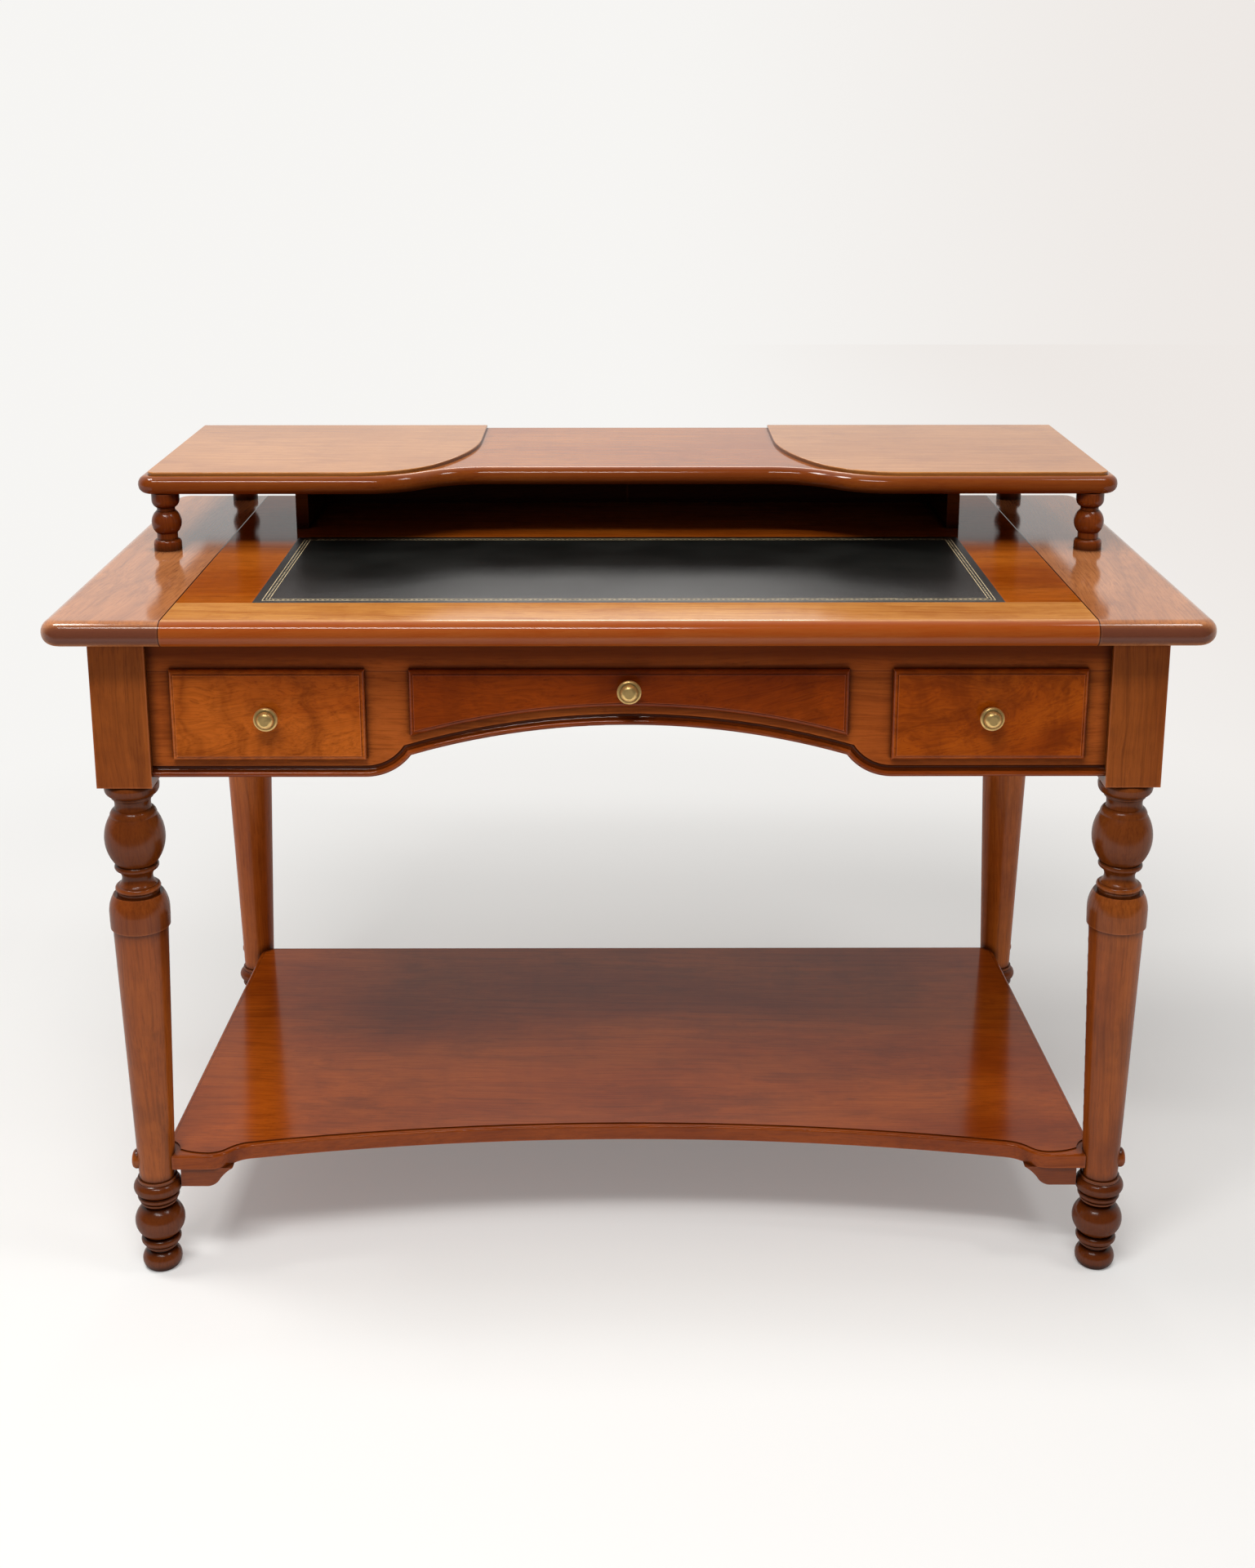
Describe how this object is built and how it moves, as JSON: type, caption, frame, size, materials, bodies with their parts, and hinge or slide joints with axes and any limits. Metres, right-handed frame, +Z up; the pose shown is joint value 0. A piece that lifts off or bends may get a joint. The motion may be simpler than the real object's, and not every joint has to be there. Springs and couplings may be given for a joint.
{
  "type": "lady's writing desk",
  "caption": "Bonheur du jour on turned legs: leather writing top, open raised gallery, drawers in an arched apron and a low shelf.",
  "frame": {"origin": "on the floor, under the middle of the writing top", "axes": "+X to the right along the front, +Y to the back, +Z up; the drawers open towards -Y"},
  "size_m": [1.195, 0.65, 0.8625],
  "materials": {
    "cherry_wood": "stained and polished cherry, satin to gloss",
    "pale_wood": "plain unpolished secondary wood",
    "black_leather": "smooth black writing leather with gold tooling",
    "antique_brass": "aged brass, darker in its hollows",
    "steel": "plain bright steel"
  },
  "bodies": {
    "desk": {"apron_bead_arch": "cherry_wood", "apron_bead_left": "cherry_wood", "apron_bead_right": "cherry_wood", "bolt_buttons": "cherry_wood", "drawer_kickers": "pale_wood", "front_apron_board": "cherry_wood", "front_left_baluster": "cherry_wood", "front_left_leg": "cherry_wood", "front_right_baluster": "cherry_wood", "front_right_leg": "cherry_wood", "front_top_rail": "cherry_wood", "gallery_shelf": "cherry_wood", "left_drawer_divider": "pale_wood", "left_drawer_runner": "pale_wood", "left_end_board": "cherry_wood", "left_gallery_back": "cherry_wood", "left_gallery_side": "cherry_wood", "left_gallery_tablet": "cherry_wood", "left_shelf_bracket": "cherry_wood", "left_side_apron": "cherry_wood", "left_top_stile": "cherry_wood", "lower_shelf": "cherry_wood", "rear_apron": "cherry_wood", "rear_left_baluster": "cherry_wood", "rear_left_leg": "cherry_wood", "rear_right_baluster": "cherry_wood", "rear_right_leg": "cherry_wood", "right_drawer_divider": "pale_wood", "right_drawer_runner": "pale_wood", "right_end_board": "cherry_wood", "right_gallery_back": "cherry_wood", "right_gallery_side": "cherry_wood", "right_gallery_tablet": "cherry_wood", "right_shelf_bracket": "cherry_wood", "right_side_apron": "cherry_wood", "right_top_stile": "cherry_wood", "shelf_bolts": "steel", "top_front_rail": "cherry_wood", "top_rear_board": "cherry_wood", "top_screws": "steel", "writing_leather": "black_leather", "writing_panel": "pale_wood"},
    "left_drawer": {"left_drawer_back": "pale_wood", "left_drawer_bottom": "pale_wood", "left_drawer_front": "cherry_wood", "left_drawer_knob": "antique_brass", "left_drawer_left_side": "pale_wood", "left_drawer_right_side": "pale_wood"},
    "centre_drawer": {"centre_drawer_back": "pale_wood", "centre_drawer_bottom": "pale_wood", "centre_drawer_front": "cherry_wood", "centre_drawer_knob": "antique_brass", "centre_drawer_left_side": "pale_wood", "centre_drawer_right_side": "pale_wood"},
    "right_drawer": {"right_drawer_back": "pale_wood", "right_drawer_bottom": "pale_wood", "right_drawer_front": "cherry_wood", "right_drawer_knob": "antique_brass", "right_drawer_left_side": "pale_wood", "right_drawer_right_side": "pale_wood"}
  },
  "joints": [
    {"name": "left_drawer_slide", "type": "slide", "parent": "desk", "child": "left_drawer", "axis": [0, -1, 0], "range_m": [0, 0.3]},
    {"name": "centre_drawer_slide", "type": "slide", "parent": "desk", "child": "centre_drawer", "axis": [0, -1, 0], "range_m": [0, 0.3]},
    {"name": "right_drawer_slide", "type": "slide", "parent": "desk", "child": "right_drawer", "axis": [0, -1, 0], "range_m": [0, 0.3]}
  ]
}
